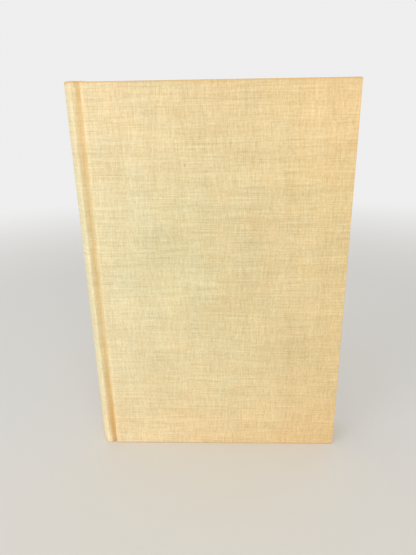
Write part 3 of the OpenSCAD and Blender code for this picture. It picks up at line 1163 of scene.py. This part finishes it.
def make_pages(size):
    """The pages, with a groove between each two leaves at head, tail and fore-edge."""
    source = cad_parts["text_block"]
    piece = bpy.data.objects.new("pages", source.data.copy())
    piece.data.name = "pages"
    piece.matrix_world = source.matrix_world
    bpy.context.scene.collection.objects.link(piece)
    edit(piece)
    select_all()
    bpy.ops.transform.resize(value=(MM, MM, MM), center_override=(0, 0, 0))
    select_all()
    bpy.ops.mesh.remove_doubles(threshold=NEAR)
    bpy.ops.mesh.normals_make_consistent(inside=False)
    half = -LEAF_HIGH.y
    step = 2 * half / size.leaves
    for i in range(1, 2 * size.leaves):
        cut(1, -half + i * step / 2)
    chance = random.Random(7)
    groove_depths = {1: 0.03, 2: 0.06, 3: 0.1}
    kinds = [0] + [chance.choice(tuple(groove_depths)) for _ in range(size.leaves)] + [0]

    def groove(vertex, kind):
        i = round((vertex.co.y + half) / step)
        return 0 < i < size.leaves and abs(vertex.co.y + half - i * step) < step / 8 and kinds[i] == kind

    fore_x = PAGES_HIGH.x - (PAGES_HIGH.x - FOLD_X) / 2
    sides = ((lambda v: v.co.z > PAGES_HIGH.z - 1, (0, 0, -1)),
             (lambda v: v.co.z < PAGES_LOW.z + 1, (0, 0, 1)),
             (lambda v: v.co.x > fore_x, (-1, 0, 0)))
    for kind, depth in groove_depths.items():
        for test, to in sides:
            pick("VERT", lambda v: groove(v, kind) and test(v), "grooves between leaves")
            bpy.ops.transform.translate(value=Vector(to) * depth)
    free_hands()
    hand_over(piece, pages_material(size.leaves), "text_block", smooth=30.0)


def make_headbands(size):
    """A bead wound with thread, on a tape, at the head and at the tail."""
    material = headband_material()
    round_x, _, angle, _, _ = spine_places(size)
    turn = math.radians(angle)
    tape_r = round_x - BAND_LOW.x
    middle_r = tape_r - BAND_TAPE / 2 - size.bead_d / 2
    level = BAND_HIGH.z - size.bead_d / 2
    rounds = int(2 * turn * middle_r / size.thread_d)
    upright = (math.pi / 2, 0, 0)

    def carry_round(shape, steps, copies):
        """Takes a ring to the start of the round, and spins it or its copies along."""
        bpy.ops.object.transform_apply(rotation=True)
        edit(shape)
        select_all()
        bpy.ops.transform.translate(value=(round_x - middle_r, 0, level))
        bpy.ops.transform.rotate(value=turn, orient_axis="Z", center_override=(round_x, 0, 0))
        bpy.ops.mesh.spin(steps=steps, angle=2 * turn, center=(round_x, 0, 0), axis=(0, 0, -1), dupli=copies)

    free_hands()
    bpy.ops.mesh.primitive_torus_add(
        location=(0, 0, 0), rotation=upright, major_segments=THREAD_PARTS[0], minor_segments=THREAD_PARTS[1],
        major_radius=(size.bead_d - size.thread_d) / 2, minor_radius=size.thread_d / 2)
    head = bpy.context.object
    head.name = head.data.name = "head_band_threads"
    carry_round(head, rounds, True)
    free_hands()
    # The core reaches a little way into the thread
    core_r = size.bead_d / 2 - size.thread_d * 0.7
    bpy.ops.mesh.primitive_circle_add(vertices=CORE_PARTS, radius=core_r, fill_type="NGON", rotation=upright)
    core = bpy.context.object
    carry_round(core, ROUND_PARTS, False)
    turn_outwards()
    tape = Section("tape", round_x - tape_r * math.cos(turn), -tape_r * math.sin(turn), BAND_LOW.z)
    tape.arc(round_x, 0, -2 * angle, BAND_PARTS)
    tape.rise_open(level - BAND_LOW.z, -1, 0, 0)
    thicken(tape.piece, BAND_TAPE)
    take(core, tape.piece, head)
    bpy.ops.object.join()
    tail = mirrored(head, "tail_band_threads", (1, 1, -1), (0, 0, COVER_H / 2))
    for band, stands_for in ((head, "head_band"), (tail, "tail_band")):
        hand_over(band, material, stands_for)


# Stage


def make_camera(scene):
    """A camera where the picture was taken from, worked out from the front cover's middle."""
    stage = scene.book_stage
    turn = (Matrix.Rotation(stage.roll, 3, "Z") @ Matrix.Rotation(stage.tilt, 3, "X")
            @ Matrix.Rotation(stage.yaw, 3, "Y"))
    aim = Vector((stage.right, stage.down, stage.away))
    back = -(turn.transposed() @ aim)
    # The picture's axes run right, down and away; the book's run right, away and up
    to_book = Matrix(((1, 0, 0), (0, 0, 1), (0, -1, 0)))
    camera = bpy.data.objects.new("camera", bpy.data.cameras.new("camera"))
    scene.collection.objects.link(camera)
    right, down, away = (to_book @ turn[i] for i in range(3))
    place = to_book @ back + COVER_MIDDLE / MM
    camera.matrix_world = Matrix.Translation(place) @ Matrix((right, -down, -away)).transposed().to_4x4()
    camera.data.sensor_width = SENSOR
    camera.data.lens = stage.focal_px * SENSOR / PHOTO_H
    camera.data.shift_x = -stage.axis_right / PHOTO_H
    camera.data.shift_y = -stage.axis_up / PHOTO_H
    camera.data.clip_start = 0.01
    scene.camera = camera


def make_floor(stage):
    """A pale floor that fades into the background for the camera."""
    free_hands()
    bpy.ops.mesh.primitive_circle_add(vertices=FLOOR_PARTS, radius=FLOOR_RADIUS, fill_type="NGON",
                                      location=(0, 0, 0))
    floor = bpy.context.object
    floor.name = "floor"
    n = Finish("floor")
    place = n.add("TexCoord").outputs["Object"]
    from_book = n.add("VectorMath", {0: place}, operation="LENGTH").outputs["Value"]
    far = n.ramp(from_book, FADE_FROM, FADE_TO)
    seen = n.add("LightPath").outputs["Is Camera Ray"]
    glow = n.add("Emission", {"Color": stage.world, "Strength": 1.0}).outputs[0]
    both = n.add("MixShader", {0: n.times(far, seen), 1: n.shader.outputs[0], 2: glow})
    n.feed(n.output.inputs["Surface"], both.outputs[0])
    dress(floor, n.surface(stage.floor, roughness=0.9, specular=0.1))


def make_world(scene):
    """A soft world, which the camera, glossy rays and rays through glass see as the background."""
    world = bpy.data.worlds.new("studio")
    scene.world = world
    world.use_nodes = True
    n = Nodes(world.node_tree)
    n.tree.nodes.clear()
    path = n.add("LightPath").outputs
    seen = n.most(path["Is Camera Ray"], n.most(path["Is Glossy Ray"], path["Is Transmission Ray"]))
    soft = n.add("Background", {"Color": WORLD_COLOUR, "Strength": WORLD_STRENGTH}).outputs[0]
    shown = n.add("Background", {"Color": scene.book_stage.world, "Strength": 1.0}).outputs[0]
    n.add("OutputWorld", {"Surface": n.add("MixShader", {0: seen, 1: soft, 2: shown}).outputs[0]})


def make_lamps(scene):
    """Two large round lamps, turned to the front cover's middle."""
    for name, place, size, power in LAMPS:
        lamp = bpy.data.objects.new(name, bpy.data.lights.new(name, "AREA"))
        scene.collection.objects.link(lamp)
        lamp.data.energy = power
        lamp.data.shape = "DISK"
        lamp.data.size = size
        lamp.location = place
        lamp.rotation_euler = (COVER_MIDDLE / MM - Vector(place)).to_track_quat("-Z", "Y").to_euler()


class BOOK_OT_linen(bpy.types.Operator):
    """Models the cover cloth over the boards, joints and spine"""

    bl_idname = "book.linen"
    bl_label = "Cover cloth"

    def execute(self, context):
        make_linen(values())
        return {"FINISHED"}


class BOOK_OT_boards(bpy.types.Operator):
    """Finishes the boards, the spine inlay and the lining"""

    bl_idname = "book.boards"
    bl_label = "Boards and lining"

    def execute(self, context):
        greyboard = board_material()
        for name in ("front_board", "back_board", "spine_inlay"):
            dress(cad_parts[name], greyboard)
        dress(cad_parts["spine_lining"], lining_material())
        return {"FINISHED"}


class BOOK_OT_gauze(bpy.types.Operator):
    """Models the gauze round the back of the pages and its flanges"""

    bl_idname = "book.gauze"
    bl_label = "Gauze"

    def execute(self, context):
        make_gauze(values())
        return {"FINISHED"}


class BOOK_OT_endpapers(bpy.types.Operator):
    """Models the pasted and the free half of both endpapers"""

    bl_idname = "book.endpapers"
    bl_label = "Endpapers"

    def execute(self, context):
        make_endpapers(values())
        return {"FINISHED"}


class BOOK_OT_pages(bpy.types.Operator):
    """Models the pages with the edges of their leaves"""

    bl_idname = "book.pages"
    bl_label = "Pages"

    def execute(self, context):
        make_pages(values())
        return {"FINISHED"}


class BOOK_OT_headbands(bpy.types.Operator):
    """Models the headbands at head and tail"""

    bl_idname = "book.headbands"
    bl_label = "Headbands"

    def execute(self, context):
        make_headbands(values())
        return {"FINISHED"}


class BOOK_OT_stage(bpy.types.Operator):
    """Sets the floor, the light and the camera"""

    bl_idname = "book.stage"
    bl_label = "Stage"

    def execute(self, context):
        make_camera(context.scene)
        make_floor(context.scene.book_stage)
        make_world(context.scene)
        make_lamps(context.scene)
        context.scene.view_settings.view_transform = "Standard"
        return {"FINISHED"}


class BOOK_PT_panel(bpy.types.Panel):
    """Lists the settings and the steps in the 3D view's sidebar"""

    bl_label = "Cloth-bound book"
    bl_idname = "BOOK_PT_panel"
    bl_space_type = "VIEW_3D"
    bl_region_type = "UI"
    bl_category = "Book"

    def draw(self, context):
        for group in (context.scene.book_sizes, context.scene.book_colours, context.scene.book_stage):
            box = self.layout.box()
            for name in type(group).__annotations__:
                box.prop(group, name)
        for operator in OPERATORS:
            self.layout.operator(operator.bl_idname)


GROUPS = (BookSizes, BookColours, BookStage)
OPERATORS = (BOOK_OT_linen, BOOK_OT_boards, BOOK_OT_gauze, BOOK_OT_endpapers, BOOK_OT_pages,
             BOOK_OT_headbands, BOOK_OT_stage)


def register():
    """Adds the classes and the scene's settings."""
    for kind in GROUPS + OPERATORS + (BOOK_PT_panel,):
        bpy.utils.register_class(kind)
    bpy.types.Scene.book_sizes = PointerProperty(type=BookSizes)
    bpy.types.Scene.book_colours = PointerProperty(type=BookColours)
    bpy.types.Scene.book_stage = PointerProperty(type=BookStage)


def unregister():
    """Takes them away again."""
    del bpy.types.Scene.book_sizes, bpy.types.Scene.book_colours, bpy.types.Scene.book_stage
    for kind in (BOOK_PT_panel,) + OPERATORS[::-1] + GROUPS[::-1]:
        bpy.utils.unregister_class(kind)


def main():
    """Makes every piece and the stage."""
    register()
    bpy.ops.book.linen()
    bpy.ops.book.boards()
    bpy.ops.book.gauze()
    bpy.ops.book.endpapers()
    bpy.ops.book.pages()
    bpy.ops.book.headbands()
    bpy.ops.book.stage()


if __name__ == "__main__":
    main()
